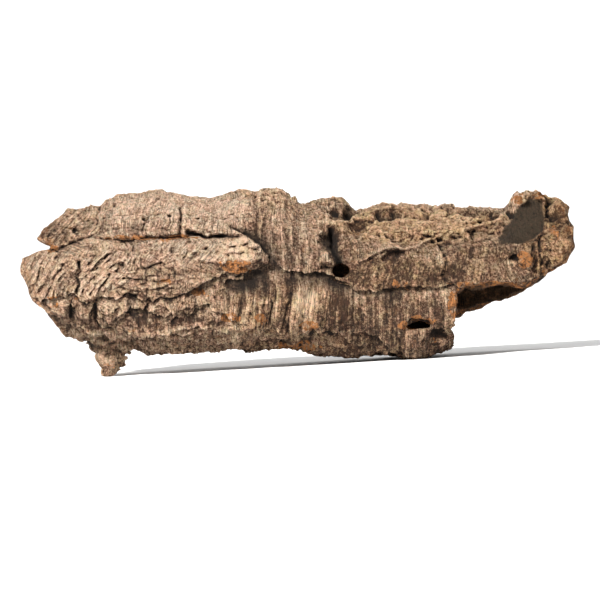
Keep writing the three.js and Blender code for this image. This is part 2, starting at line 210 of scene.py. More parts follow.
# Narrow cracks: path, how deep and how wide
fineCracks = [
    ([[192, 233], [203, 234], [215, 236], [226, 238]], 6, 1.5),
    ([[100, 246], [90, 256], [84, 262]], 2.0, 1.0),
    ([[124, 248], [110, 260], [101, 270]], 2.2, 1.0),
    ([[84, 262], [86, 275], [81, 296]], 3.6, 1.2),
    ([[113, 273], [110, 282], [105, 289]], 3.0, 1.1),
    ([[211, 242], [203, 250], [196, 258]], 2.2, 1.0),
    ([[118, 264], [132, 267], [150, 269], [165, 266]], 1.8, 0.9),
    ([[120, 276], [140, 278], [160, 280], [182, 276]], 1.8, 0.9),
    ([[112, 287], [135, 290], [152, 292]], 1.6, 0.9),
    ([[161, 197], [157, 204], [152, 209], [150, 217], [148, 226], [147, 236]], 2.0, 0.9),
    ([[104, 217], [150, 215], [200, 217], [256, 215]], 1.2, 0.8),
    ([[110, 229], [160, 229], [200, 231], [250, 228]], 1.2, 0.8),
    ([[187, 204], [184, 214], [185, 226], [184, 237]], 2.0, 1.0),
    ([[104, 206], [101, 216], [103, 226]], 2.0, 1.0),
    ([[257, 190], [257, 210], [259, 236]], 1.0, 0.8),
    ([[148, 293], [150, 302], [147, 311]], 3, 1.3),
    ([[258, 341], [276, 343], [290, 348], [304, 345], [318, 339], [334, 341]], 3.2, 1.6),
    ([[334, 341], [346, 347], [358, 353], [372, 349], [386, 353], [400, 350]], 3.2, 1.6),
    ([[100, 326], [120, 332], [140, 341]], 3, 1.2),
    ([[60, 322], [80, 330], [104, 337]], 3, 1.2),
    ([[391, 300], [391, 312], [393, 326], [398, 336], [404, 346]], 1.8, 1.0),
    ([[350, 296], [349, 305], [352, 320]], 1.6, 0.9),
    ([[232, 250], [245, 246], [258, 243]], 1.6, 0.8),
    ([[230, 256], [246, 252], [262, 250]], 1.6, 0.8),
]

# Long furrows round the rest of the tube: degrees from the front, the stretch in pixels and the size
furrows = [
    {"angle": 74, "from": 330, "to": 520, "depth": 6, "reach": 9, "sway": 5},
    {"angle": 98, "from": 60, "to": 300, "depth": 7, "reach": 12, "sway": 7},
    {"angle": 122, "from": 200, "to": 540, "depth": 8, "reach": 12, "sway": 6},
    {"angle": 146, "from": 50, "to": 330, "depth": 9, "reach": 12, "sway": 6},
    {"angle": 168, "from": 150, "to": 571, "depth": 8, "reach": 12, "sway": 6},
    {"angle": 193, "from": 50, "to": 400, "depth": 9, "reach": 12, "sway": 6},
    {"angle": 216, "from": 260, "to": 571, "depth": 8, "reach": 12, "sway": 6},
    {"angle": 240, "from": 60, "to": 360, "depth": 8, "reach": 12, "sway": 6},
    {"angle": 262, "from": 180, "to": 450, "depth": 6, "reach": 11, "sway": 5},
]

# Hollows (negative) and swellings: middle and half axes in pixels, turn in degrees, height
frontForms = [
    ([236, 252], [30, 15], 10, 4),
    ([250, 288], [24, 10], 8, -3),
    ([556, 211], [13, 12], 0, 6),
    ([554, 250], [18, 18], 0, 3),
    ([520, 257], [11, 11], -20, 3.5),
    ([390, 256], [11, 7], 30, -3),
    ([329, 238], [13, 14], 0, -5),
    ([509, 258], [6, 5], 0, -4),
    ([510, 216], [5, 5], 0, -3.5),
    ([437, 333], [11, 4], -8, -4),
    ([416, 323], [14, 6], 0, -4),
    ([516, 200], [7, 9], -30, 3.5),
    ([538, 196], [8, 6], -10, 2.5),
    ([387, 214], [17, 6.5], 6, -9),
    ([339, 212], [14, 7], 0, -6.5),
    ([357, 226], [10, 6], -10, -2),
    ([325, 257], [7, 7], 0, 3),
    ([148, 306], [16, 4], 0, 2.5),
    ([446, 208], [7, 4.5], 0, -7),
    ([472, 210], [16, 5.5], -12, -8),
    ([490, 214], [9, 5], -20, -8),
    ([201, 220], [3, 2.5], 0, -3),
    ([173, 217], [2.5, 2], 0, -3),
    ([115, 204], [4, 2], 20, -2.5),
    ([147, 218], [2, 2.5], 0, -2.5),
    ([91, 222], [14, 9], 20, -3),
    ([78, 229], [5, 4], 0, -4),
    ([300, 308], [60, 24], 0, 3),
    ([118, 310], [17, 10], 15, 3.5),
    ([88, 312], [8, 11], 0, 3),
    ([67, 314], [7, 9], 0, 2.5),
    ([184, 305], [34, 6], 0, 2.5),
    ([150, 329], [50, 6], -3, 2.5),
    ([84, 330], [26, 6], -20, 2),
    ([190, 336], [60, 14], 0, 3),
]
# The smooth dark facet where a branch came off: its outline in pixels, and the plane that it lies in
scarFacet = {"outline": [[494, 244], [496, 235], [507, 221], [519, 204], [525, 198], [541, 202], [541, 217],
                         [538, 234], [530, 241], [508, 244]],
             "at": [512, 232], "y": -26.5, "slopeX": 0.25, "slopeZ": 0.62}
lowPoints = [([405, -24], 18, 5), ([402, 25], 19, 9)]

# What the bark is like, and where the photo shows it otherwise: middle and half axes in pixels.
# Lines run round the tube like a comb and lean to the right by `lean` for each unit up. Ledges are level,
# layers slant and lie each over the next, flutes are broad grooves, crumbs are angular chips.
plainBark = {"lines": 0.35, "flutes": 0, "ledges": 0.3, "layers": 0, "crumbs": 0.7, "blocks": 0.2, "lean": 0,
             "tone": 0, "warm": 0.3}
# A zone's tone makes its bark lighter or darker: partly the bark's own colour, partly painted light and
# shade, lighter on ridge tops and darker on flanks that face down and away from the key light
barkZones = [
    zone([72, 227], [36, 24], lines=0.3, layers=0.8, crumbs=0.6, lean=0.9, tone=0.1),
    zone([180, 212], [82, 24], lines=0.22, ledges=0.12, crumbs=0.35, blocks=0, lean=0.25, tone=0.45,
         warm=0),
    zone([180, 230], [80, 10], lines=0.6, ledges=0.2, crumbs=0.3, blocks=0, lean=0.2, tone=-0.25, warm=0),
    zone([48, 275], [38, 36], lines=0.3, layers=1, crumbs=0.5, lean=0.6, tone=0.25, warm=0.1),
    zone([105, 270], [44, 32], lines=0.25, layers=1, crumbs=0.6, lean=0.9, tone=0.3, warm=0.1),
    zone([178, 253], [62, 16], lines=0.35, layers=0.5, crumbs=0.5, lean=0.9, tone=0.45, warm=0),
    zone([168, 284], [60, 20], lines=0.4, ledges=1, crumbs=0.5, lean=0.1, tone=0.15, warm=0.2),
    zone([244, 249], [26, 12], lines=0, ledges=0.8, crumbs=0.5, tone=0.35),
    zone([130, 320], [112, 22], lines=0.3, ledges=0.7, crumbs=0.6, blocks=0.7, tone=-0.15, warm=0.2),
    zone([286, 245], [36, 36], lines=1.1, flutes=0.6, ledges=0, blocks=0, crumbs=0.35, lean=-0.06,
         warm=0.1),
    zone([280, 198], [28, 12], lines=0.2, ledges=0.4, crumbs=1.2, tone=0.1, warm=0.4),
    zone([290, 308], [66, 28], lines=1, flutes=1.5, ledges=0, blocks=0, crumbs=0.3, lean=0.12, warm=0.6),
    zone([420, 224], [92, 22], lines=0.1, ledges=0.5, layers=0.35, crumbs=0.8, blocks=1, lean=1.2, tone=0,
         warm=0.8),
    zone([392, 274], [56, 18], lines=0.35, ledges=0, blocks=0, crumbs=0.6, lean=0.25, tone=-0.65, warm=0.7),
    zone([478, 264], [44, 22], lines=0.6, ledges=0, blocks=0, crumbs=0.45, lean=0.2, tone=-0.4, warm=0.6),
    zone([396, 322], [58, 30], lines=0.75, flutes=0.9, ledges=0, blocks=0, crumbs=0.5, tone=-0.55,
         warm=0.4),
    zone([506, 272], [26, 14], lines=0.9, ledges=0, blocks=0, crumbs=0.3, lean=-0.5, tone=0.15, warm=0.3),
    zone([546, 235], [34, 50], lines=0.1, ledges=0.2, crumbs=1, blocks=0.4, tone=-0.35, warm=1),
    zone([320, 349], [90, 13], lines=0.2, ledges=0.9, crumbs=0.9, tone=-0.5, warm=0.5),
]

# Where the bark is lighter or darker than most of it: partly its own tone, partly painted shadows under
# overhanging plates, in hollows and beside crests, and painted highlights on lit crests and plate tops. And
# where the raw orange cork shows in flecks
toneRegions = [
    ([250, 284], [24, 6], -0.4), ([250, 268], [20, 7], -0.6), ([306, 299], [10, 14], 1.0),
    ([246, 250], [18, 8], 0.4), ([332, 310], [18, 22], -0.8), ([331, 238], [12, 12], -0.2),
    ([58, 234], [16, 12], -0.5), ([90, 221], [12, 8], 0.5), ([160, 294], [50, 8], -0.25),
    ([176, 320], [60, 5], -0.3), ([160, 339], [76, 9], 0.25), ([90, 336], [30, 8], 0.3),
    ([142, 315], [22, 3], -0.6), ([190, 316], [20, 3], -0.6), ([436, 342], [16, 12], -0.3),
    ([434, 331], [12, 5], -0.4), ([387, 213], [16, 6], -1.1), ([446, 208], [7, 4], -1.0),
    ([472, 210], [15, 5], -0.9), ([490, 214], [9, 5], -1.0), ([357, 226], [10, 6], -0.8),
    ([340, 212], [12, 8], -0.6), ([390, 256], [10, 6], -0.4), ([450, 274], [10, 18], -0.45),
    ([435, 258], [4, 10], 0.45), ([336, 246], [8, 20], -0.6), ([509, 258], [5, 5], -0.9),
    ([555, 213], [9, 8], -0.7), ([530, 257], [4, 10], -0.5), ([509, 216], [5, 5], -0.6),
    ([516, 199], [6, 8], 0.7), ([554, 250], [14, 13], 0.25), ([528, 244], [7, 4], 0.4),
    ([110, 360], [18, 22], 0.3), ([276, 289], [3, 7], -0.6), ([271, 302], [3, 8], -0.6),
    ([268, 316], [3, 8], -0.6), ([292, 290], [3, 7], -0.6), ([287, 303], [3, 8], -0.6),
    ([283, 317], [4, 8], -0.6), ([240, 302], [10, 8], -0.5),
]
fleckRegions = [
    ([56, 248], [9, 5], 1.0), ([58, 300], [8, 6], 0.7), ([168, 281], [9, 5], 0.8),
    ([205, 293], [10, 5], 0.8), ([232, 316], [9, 6], 1.0), ([262, 317], [8, 7], 0.9),
    ([309, 323], [9, 7], 0.9), ([401, 321], [6, 5], 0.9), ([416, 316], [5, 4], 1.0),
    ([427, 319], [8, 3], 1.0), ([431, 339], [6, 3], 0.8), ([450, 307], [7, 11], 1.1),
    ([520, 259], [8, 9], 1.6), ([486, 284], [44, 4], 1.0), ([453, 294], [8, 6], 1.2),
    ([550, 231], [5, 12], 0.6), ([543, 270], [10, 5], 0.5), ([516, 198], [7, 8], 0.8),
    ([538, 196], [7, 5], 0.9), ([155, 238], [50, 3], 0.8), ([236, 266], [17, 8], 0.8),
    ([300, 345], [26, 6], 0.7), ([393, 285], [5, 6], 0.7), ([130, 331], [70, 5], 0.3),
    ([86, 297], [30, 4], 0.4), ([110, 369], [8, 8], 0.5), ([404, 286], [4, 5], 0.5),
]

# The break under the right end, the hole and the slot
breakFront = [[440, 294], [450, 290], [462, 281], [476, 279], [500, 277], [520, 282], [571, 258], [600, 240]]
breakBack = [[440, 334], [455, 327], [480, 318], [510, 306], [527, 295], [560, 268], [600, 244]]
breakage = {"from": 449, "halfWidth": 44, "ragged": 1.4, "face": 3.2, "margin": 12}
holes = [
    {"at": [340, 270], "radii": [4.9, 3.8], "to": -8, "wave": 0, "ragged": 0.12},
    {"at": [416, 324], "radii": [6.5, 2.1], "to": -18, "wave": 1.2, "ragged": 0},
]

# Flaps that stand off the tube: root and tip as [x in pixels, y in mm, height in pixels]
flaps = [
    {"root": [114, -9, 322], "tip": [109, -6, 377], "halfWidth": 15, "halfDepth": 9, "tipShare": 0.34,
     "point": 9, "seed": 5, "power": 2},
    {"root": [205, -33, 264], "tip": [270, -45, 258], "halfWidth": 13, "halfDepth": 11, "tipShare": 0.5,
     "point": 3, "seed": 31, "power": 1.25},
]
# How far round a feature, in pixels to its left and right, the field is worked out for it
margins = {"flap": (34, 30), "scar": (8, 8), "hole": (40, 40)}


# The roll as tables over its length and round it

def pathDistance(path, x, z):
    best = np.full(x.shape, 1e6, np.float32)
    above = np.ones(x.shape, bool)
    points = [(across(px), upward(py)) for px, py in path]
    for (x0, z0), (x1, z1) in zip(points, points[1:]):
        dx, dz = x1 - x0, z1 - z0
        t = np.clip(((x - x0) * dx + (z - z0) * dz) / (dx * dx + dz * dz), 0, 1)
        distance = np.hypot(x - x0 - t * dx, z - z0 - t * dz)
        nearer = distance < best
        best = np.where(nearer, distance, best)
        above = np.where(nearer, dx * (z - z0) - dz * (x - x0) >= 0, above)
    return best, above


# Distance to the outline in the front view, positive inside; the outline runs clockwise on the picture
def insideOutline(outline, x, z):
    inside = np.full(np.broadcast(x, z).shape, 1e6, np.float32)
    points = [(across(px), upward(py)) for px, py in outline]
    for (x0, z0), (x1, z1) in zip(points, points[1:] + points[:1]):
        dx, dz = x1 - x0, z1 - z0
        inside = np.minimum(inside, (dz * (x - x0) - dx * (z - z0)) / math.hypot(dx, dz))
    return inside


def shoulder(distance, reach):
    share = np.clip(distance / reach, 0, 1)
    return 1 - np.sqrt(1 - (1 - share) ** 2)


def blobs(regions, x, z):
    total = 0
    for (px, py), (halfX, halfY), strength in regions:
        out = np.hypot((pixelX(x) - px) / halfX, (photo["middleY"] - z / photo["pixel"] - py) / halfY)
        total = np.maximum(total, strength * (1 - smoothstep(out, 0.7, 1.15)))
    return total


def sumOfBlobs(regions, x, z):
    return sum(blobs([region], x, z) if region[2] > 0 else -blobs([(*region[:2], -region[2])], x, z)
               for region in regions)


def zoneTables(x, z):
    weights = [blobs([(at, half, 1)], x, z) for at, half, _ in barkZones]
    total = sum(weights)
    tables = {}
    for name, plain in plainBark.items():
        value = sum(w * bark.get(name, plain) for w, (_, _, bark) in zip(weights, barkZones))
        tables[name] = (value + plain * np.maximum(0, 1 - total)) / np.maximum(total, 1)
    return tables


# Distance along the tube, measured across the shrinkage lines, which lean
def leaned(x, z, near):
    for (px, py), half, bark in barkZones:
        lean = bark.get("lean", 0)
        if lean:
            x = x - lean * near * (z - upward(py)) * blobs([((px, py), half, 1)], x, z)
    return x


def axisHeight(px):
    return upward((lineAt(topLine, px) + lineAt(bottomLine, px)) / 2)


def plainRadius(px, angle):
    halfHeight = (lineAt(bottomLine, px) - lineAt(topLine, px)) / 2 * photo["pixel"]
    forward = np.cos(angle) > 0
    depth = np.where(forward, lineAt(frontReach, px), lineAt(backReach, px))
    power = np.where(np.sin(angle) > 0, lineAt(frontShoulder, px), lineAt(frontSole, px))
    power = np.where(forward, power, roundSection)
    y = np.abs(np.cos(angle)) / depth
    z = np.abs(np.sin(angle)) / halfHeight
    return (y ** power + z ** power) ** (-1 / power)


def cellCount(size, axis):
    return int(size / (table["step"], table["turnStep"])[axis])


# The largest value round each cell, in steps that double until they pass the size
def widest(values, sizes):
    out = values
    for axis, size in enumerate(sizes):
        reach = 1
        while reach <= cellCount(size, axis):
            out = np.maximum(out, np.maximum(np.roll(out, reach, axis), np.roll(out, -reach, axis)))
            reach *= 2
    return out


# The mean round each cell, taken twice along the tube and round it
def blurred(values, sizes):
    out = values
    for axis, size in [*enumerate(sizes)] * 2:
        cells = cellCount(size, axis)
        pad = [(0, 0), (0, 0)]
        pad[axis] = (cells + 1, cells)
        total = np.cumsum(np.pad(out, pad, mode=("edge", "wrap")[axis]), axis=axis, dtype=np.float64)
        n = values.shape[axis]
        high = np.take(total, np.arange(2 * cells + 1, 2 * cells + 1 + n), axis=axis)
        low = np.take(total, np.arange(0, n), axis=axis)
        out = ((high - low) / (2 * cells + 1)).astype(np.float32)
    return out


xs = np.arange(table["lowX"], table["highX"], table["step"]).astype(np.float32)
angles = np.linspace(-math.pi, math.pi, table["turns"], endpoint=False).astype(np.float32)
px = pixelX(xs)[:, None]
angle = angles[None, :]
axisAt = axisHeight(pixelX(xs)).astype(np.float32)


# Cracks and forms that the photo shows, with their traced lines made to wander
def frontRelief(x, y, z, towardsFront):
    wx = x + 1.7 * noise(x, y, z, 13) + 0.9 * noise(x, y, z + 40, 4.5) + 0.4 * noise(x, y, z + 60, 2)
    wz = z + 1.6 * noise(x + 70, y, z, 11) + 1.0 * noise(x, y + 30, z, 4) + 0.4 * noise(x + 60, y, z, 2)
    cut, lower, hang = 0, 0, 0
    for line in frontCracks:
        distance, above = pathDistance(line["path"], wx, wz)
        reach = np.where(above, line["above"], line["below"])
        profile = shoulder(distance, reach)
        if line["step"]:
            profile = np.where(above, profile, np.clip(1 - distance / reach, 0, 1))
        cut = np.maximum(cut, line["depth"] * profile)
        if line["hang"]:
            lower = np.maximum(lower, np.where(above, np.exp(-(distance / 2.6) ** 2), 0))
            hang = np.maximum(hang, line["hang"] * np.exp(-(distance / 7) ** 2))
    crest = 0
    for ridge in frontCrests:
        distance, above = pathDistance(ridge["path"], wx, wz)
        reach = np.where(above, ridge["above"], ridge["below"])
        crest = np.maximum(crest, ridge["depth"] * shoulder(distance, reach))
    sharp = 0
    for path, depth, width in fineCracks:
        distance, _ = pathDistance(path, wx, wz)
        width = width * (1 + 0.7 * noise(x + 20, y, z, 5))
        sharp = np.maximum(sharp, depth * np.clip(1 - distance / width, 0, 1))
    sharp = sharp * smoothstep(noise(x, y, z + 15, 6), -0.8, 0.2)
    rise, ragged = 0, 0.2 * noise(x, y, z + 33, 4) + 0.12 * noise(x, y, z + 37, 2)
    for (formX, formY), (halfX, halfY), turn, height in frontForms:
        turn = math.radians(turn)
        fx, fz = wx - across(formX), wz - upward(formY)
        u = fx * math.cos(turn) + fz * math.sin(turn)
        v = fz * math.cos(turn) - fx * math.sin(turn)
        out = np.hypot(u / (halfX * photo["pixel"]), v / (halfY * photo["pixel"])) + ragged
        rise = rise + height * np.clip(1 - out ** 2, 0, 1) ** 0.8
    fade = smoothstep(towardsFront, 0, 0.3)
    return (rise + crest - cut) * fade, sharp * fade, lower * fade, hang * fade


def furrowRelief(px, angle, radius, wander):
    cut = 0
    for furrow in furrows:
        sway = furrow["sway"] * (np.sin(px / 31 + furrow["angle"]) + 0.4 * np.sin(px / 11))
        turned = np.degrees(angle) - furrow["angle"] - sway
        off = np.abs((turned % 360 + 540) % 360 - 180)
        fade = smoothstep(np.minimum(px - furrow["from"], furrow["to"] - px), -12, 25)
        distance = np.abs(np.radians(off) * radius + wander)
        cut = np.maximum(cut, furrow["depth"] * fade * shoulder(distance, furrow["reach"]))
    return -cut


def lowRelief(px, y, underneath):
    rise = 0
    for (lowX, lowY), reach, height in lowPoints:
        out = np.hypot(across(px) - across(lowX), y - lowY) / reach
        rise = np.maximum(rise, height * np.clip(1 - out ** 2, 0, 1))
    return np.where(underneath, rise, 0)


# The bark's own relief, as heights and lengths in millimetres: the lumps are (height, length, squeeze),
# the layers are (length, height), and on the back each kind in `away` comes and goes over its length
surface = {
    "lumps": ((1.3, 17, 1.6), (0.9, 8, 1.4)), "layers": ((4.8, 3.6), (2.3, 0.9)), "ledge": 1.5,
    "fissure": 1.5, "crackAcross": 1.3, "flute": 2.2, "chip": 0.8, "chipFine": 0.5, "block": 1.7, "pit": 1.5,
    "away": {"lines": 34, "flutes": 27, "ledges": 40, "layers": 30},
}


# Slanted layers in two sizes: each rises slowly to its edge and drops to the next one
def layerRelief(x, y, z, along, amount):
    shown = smoothstep(fractal(x, y, z - 70, 6, 2, 0.7), -0.6, 0.3)
    layers = 0
    for size, height in surface["layers"]:
        rise = (along + 2.6 * noise(x, y, z, 11) + 0.8 * noise(x, y, z + 50, 3.5)) / size
        band = np.floor(rise)
        share = rise - band
        bandHeight = hashed((band + 500).astype(np.uint32), np.uint32(3), np.uint32(5))
        edge = share * (1 - smoothstep(share, 0.9, 1))
        broken = 0.65 + 0.5 * noise(x + band * 17, y / 2, z / 2, 5)
        layers = layers + height * (edge - 0.4) * (0.4 + 0.8 * bandHeight) * broken
    return layers * amount * shown


# Thin ledges run along the bark where its height passes each step
def ledgeRelief(x, y, z, large, ledge):
    step = surface["ledge"]
    height = large + 1.6 * fractal(x * 0.25, y, z, 8, 3) - 0.22 * (z - axisAt[:, None])
    share = (height / step) % 1
    stepped = step * (np.floor(height / step) + smoothstep(share, 0.75, 0.98))
    return (stepped - height) * 0.9 * ledge


# Fissures along the bark, and cracks across it
def fissureRelief(x, y, z, ledge):
    along = np.abs(fractal(x / 4.2, y, z + 60, 5.5, 2, 0.4))
    broken = smoothstep(noise(x + 60, y, z, 10), -0.4, 0.5)
    fissures = -surface["fissure"] * (1 - smoothstep(along, 0.0, 0.08)) * (0.1 + 0.9 * ledge) * broken
    lines = np.abs(fractal(x, y / 5 + 20, z / 5, 4.6, 2, 0.5))
    cracks = -surface["crackAcross"] * (1 - smoothstep(lines, 0.0, 0.07)) * (0.3 + 0.5 * ledge)
    return fissures, cracks * (1 - 0.6 * broken)


# The comb wavers; its grooves are sharp and its ridges are round, and some grooves go deeper
def combRelief(x, y, z, along, comb, flutes):
    wavering = along + 0.7 * noise(x / 2, y / 2, z / 2, 6)
    teeth = np.abs(noise(wavering, y / 14, z / 14, 1.6))
    teeth = teeth + 0.4 * np.abs(noise(wavering + 50, y / 9, z / 9, 1.2)) - 0.45
    combed = teeth * comb * (1.0 + 0.9 * noise(x / 2 + 9, y / 3, z / 3, 6))
    return combed, surface["flute"] * (np.abs(noise(wavering + 20, y / 8, z / 8, 6.5)) - 0.4) * flutes


# Angular chips, stretched along the ledges, with crumbs on them, and larger blocks
def chipRelief(x, y, z, zones):
    cx = x + 1.2 * noise(x, y, z, 3)
    cy, cz = y + 1.2 * noise(x + 40, y, z, 3), z + 1.2 * noise(x, y + 40, z, 3)
    chipped = surface["chip"] * chips(cx * lerp(1, 0.5, zones["ledges"]), cy, cz, 6.0)
    chipped = chipped + surface["chipFine"] * chips(cx, cy, cz, 2.8)
    crumbs = chipped * zones["crumbs"] + (0.35 + 0.35 * zones["crumbs"]) * fractal(x, y, z, 2.2, 2, 0.7)
    return crumbs, surface["block"] * chips(cx * 0.7, cy, cz * 1.1, 9.5, 1.0) * zones["blocks"]


def boreRadius(x, y, z, crust):
    middle = np.clip(px, wall["boreFrom"], wall["boreTo"])
    smooth = sum(plainRadius(middle + d * wall["boreSpread"], angle) for d in (-1, 0, 1)) / 3
    ripple = np.sin(wall["lobes"] * angle + px / wall["turnEvery"])
    bore = smooth - wall["thickness"] + wall["ripple"] * ripple
    bore = (bore + 0.7 * fractal(x / 5, y, z, 4, 3)).astype(np.float32)
    return np.minimum(bore, blurred(crust, wall["spread"]) - wall["least"])


def distanceFromEnds(y, z):
    degrees = np.degrees(angles)
    ragged = 1.6 * fractal(y[0] * 0 + 3, y, z, 9, 3) / photo["pixel"]
    left = lineAt(leftEnd, degrees)[None, :] + ragged
    right = lineAt(rightEnd, degrees)[None, :] + ragged
    return (np.minimum(px - left, right - px) * photo["pixel"]).astype(np.float32)


def buildTables():
    plain = plainRadius(px, angle).astype(np.float32)
    x = np.broadcast_to(across(px), plain.shape).astype(np.float32)
    y = -plain * np.cos(angle)
    z = axisAt[:, None] + plain * np.sin(angle)
    front = np.cos(angle) + 0 * plain

    relief, sharp, lower, hang = frontRelief(x, y, z, front)
    wander = 1.6 * noise(x, y, z + 90, 9) + 0.6 * noise(x, y + 50, z, 3.5)
    large = relief + furrowRelief(px, angle, plain, wander) + lowRelief(px, y, np.sin(angle) < 0)
    for height, cell, squeeze in surface["lumps"]:
        large = large + height * noise(x, y * squeeze, z * squeeze, cell)

    # What the bark is like here; round the rest of the tube it changes by itself
    near = smoothstep(front, -0.1, 0.2)
    zones = zoneTables(x, z)
    for n, (name, cell) in enumerate(surface["away"].items()):
        zones[name] = lerp(smoothstep(noise(x + 200 * n, y, z, cell), -0.3, 0.4) * 0.8, zones[name], near)
    top = smoothstep(np.sin(angle) + 0.35 * noise(x, y, z, 12), 0.35, 0.8)

    along = leaned(x, z, near)
    parts = [large, layerRelief(x, y, z, along, zones["layers"]),
             ledgeRelief(x, y, z, large, zones["ledges"]), *fissureRelief(x, y, z, zones["ledges"]),
             *combRelief(x, y, z, along, zones["lines"], zones["flutes"]), *chipRelief(x, y, z, zones),
             -surface["pit"] * smoothstep(noise(x + 12, y, z, 2.0), 0.8, 0.92) * top, -sharp]
    outer = plain
    for part in parts:
        outer = outer + part
    bore = boreRadius(x, y, z, plain + large)
    outer = np.maximum(outer, bore + wall["thinnest"]).astype(np.float32)

    # How far a groove slants as it goes in, so that each ridge hangs over the crack below it
    slant = 0.4 * np.cos(angle) * (1 + 0.5 * noise(x, y, z, 25)) + hang

    # Masks for the colours: deep marks recesses, which the material darkens as painted shade, and fine is the
    # small relief, which it turns into painted highlights and shade
    deep = np.clip((blurred(widest(outer, (5, 9)), (4, 6)) - outer) / 9, 0, 1)
    fine = outer - blurred(outer, (1.6, 1.6))
    return {"plain": plain, "outer": outer, "bore": bore, "fromEnd": distanceFromEnds(y, z),
            "slant": slant.astype(np.float32), "deep": deep, "fine": fine, "comb": zones["lines"],
            "lower": lower}


# Distance inside the scar's outline, which is made uneven
def insideScar(x, y, z):
    return insideOutline(scarFacet["outline"], x + 1.6 * noise(x, y, z, 5), z + 1.6 * noise(x, y, z + 9, 4))


def colourMasks(x, y, z, front):
    near = smoothstep(front, -0.1, 0.2)
    zones = zoneTables(x, z)
    wx, wz = x + 2 * noise(x, y, z, 9), z + 2 * noise(x, y, z + 30, 9)
    # The tone: the bark's own lighter and darker patches, together with painted shadows and painted
    # highlights
    tone = sumOfBlobs(toneRegions, wx, wz) + zones["tone"]
    fleck = blobs(fleckRegions, x + 1.5 * noise(x, y, z, 5), z + 1.5 * noise(x, y, z + 30, 5))
    fleck = fleck * (1 + 0.7 * chips(x, y, z, 2.6))
    scar = smoothstep(insideScar(x, y, z), -0.6, 0.4)
    return {"tone": 0.5 + 0.5 * tone * near, "fleck": fleck * near, "scar": scar * near,
            "warm": lerp(smoothstep(noise(x, y, z + 300, 50), -0.5, 0.5), zones["warm"], near)}


# Value between the cells: row counts along the tube and turn round it
def readTable(values, row, turn):
    rows, turns = values.shape
    row = np.clip(row, 0, rows - 1.001)
    i = np.floor(row).astype(np.int32)
    j = np.floor(turn).astype(np.int32)
    a, b = (row - i).astype(np.float32), (turn - j).astype(np.float32)
    j %= turns
    k = (j + 1) % turns
    flat = values.ravel()
    low = flat[i * turns + j] * (1 - b) + flat[i * turns + k] * b
    high = flat[(i + 1) * turns + j] * (1 - b) + flat[(i + 1) * turns + k] * b
    return low * (1 - a) + high * a


def polar(x, y, z, axis):
    radius = np.hypot(y, z - axis) + 1e-4
    turn = (np.arctan2(z - axis, -y) / (2 * math.pi) + 0.5) * table["turns"]
    row = (x - table["lowX"]) / table["step"]
    return radius, row, turn


def slanted(tables, radius, row, turn):
    below = np.clip(readTable(tables["plain"], row, turn) - radius, -5, 12)
    shift = readTable(tables["slant"], row, turn) * below / np.maximum(radius, 15)
    return turn - shift / (2 * math.pi) * table["turns"]


# The field

def flapField(flap, x, y, z):
    root, tip = [np.array([across(p[0]), p[1], upward(p[2])]) for p in (flap["root"], flap["tip"])]
    length = np.linalg.norm(tip - root)
    along = (tip - root) / length
    deepways = np.array([0, -1, 0]) + along[1] * along
    deepways = deepways / np.linalg.norm(deepways)
    sideways = np.cross(along, deepways)
    off = [x - root[0], y - root[1], z - root[2]]
    t = sum(o * a for o, a in zip(off, along)) / length
    side = sum(o * a for o, a in zip(off, sideways))
    deep = sum(o * a for o, a in zip(off, deepways))
    taper = lerp(1, flap["tipShare"], np.clip(t, 0, 1)) * np.sqrt(1 - np.clip(t, 0, 0.99) ** flap["point"])
    swell = 1 + 0.3 * fractal((x + flap["seed"]) / 2, y, z, 6, 3)
    power = flap["power"]
    out = np.abs(side / flap["halfWidth"]) ** power + np.abs(deep / flap["halfDepth"]) ** power
    out = out ** (1 / power) / (taper * swell)
    body = (out - 1) * taper * flap["halfDepth"]
    near = np.abs(body) < 4
    body[near] -= 0.9 * chips(x / 2, y[near], z[near], 3.5) + 0.5 * noise(x, y[near], z[near], 1.6)
    ends = np.maximum((t - 1) * length + 1.2 * noise(x, y, z, 4), -t * length)
    return np.maximum(body, ends)


# The roll itself, with its lips rounded off
def rollField(tables, i, x, y, z):
    radius, row, turn = polar(x, y, z, axisAt[i])
    row = np.full(y.shape, float(i))
    outer = readTable(tables["outer"], row, slanted(tables, radius, row, turn))
    bore = readTable(tables["bore"], row, turn)
    end = readTable(tables["fromEnd"], row, turn)
    rounding = np.maximum(np.sqrt(1 - (1 - np.clip(end / wall["lip"], 0, 1)) ** 2), wall["blunt"])
    lip = lerp(bore, outer, wall["lipShare"])
    f = np.maximum(radius - lerp(lip, outer, rounding), lerp(lip, bore, rounding) - radius)
    return np.maximum(f, -end)


def breakCut(x, y, z):
    place = pixelX(x)
    back = np.clip((y + breakage["halfWidth"]) / (2 * breakage["halfWidth"]), 0, 1)
    edge = upward(lerp(lineAt(breakFront, place), lineAt(breakBack, place), back))
    edge = edge + breakage["ragged"] * fractal(x + 0 * y, y, z / 2, 6, 3)
    start = across(breakage["from"]) + breakage["face"] * fractal(0 * y, y, z, 8, 3)
    return np.minimum(x - start, edge - z)


def scarCut(x, y, z):
    plane = scarFacet["y"] + scarFacet["slopeX"] * (x - across(scarFacet["at"][0]))
    plane = plane + scarFacet["slopeZ"] * (z - upward(scarFacet["at"][1]))
    plane = plane + 0.5 * fractal(x + 0 * y, 0 * y, z, 5)
    return np.minimum(insideScar(x, y, z), plane - y)


def holeCut(hole, x, y, z):
    halfX, halfZ = hole["radii"]
    up = z - upward(hole["at"][1]) - hole["wave"] * noise(x, y, 0 * z, 6)
    out = np.hypot((x - across(hole["at"][0])) / halfX, up / halfZ) + hole["ragged"] * noise(x, y, z, 3)
    return np.where(y < hole["to"], (1 - out) * halfZ, -5)


# Whether the slice at this place, in pixels, comes near the points
def nears(place, points, kind):
    before, after = margins[kind]
    return min(points) - before < place < max(points) + after


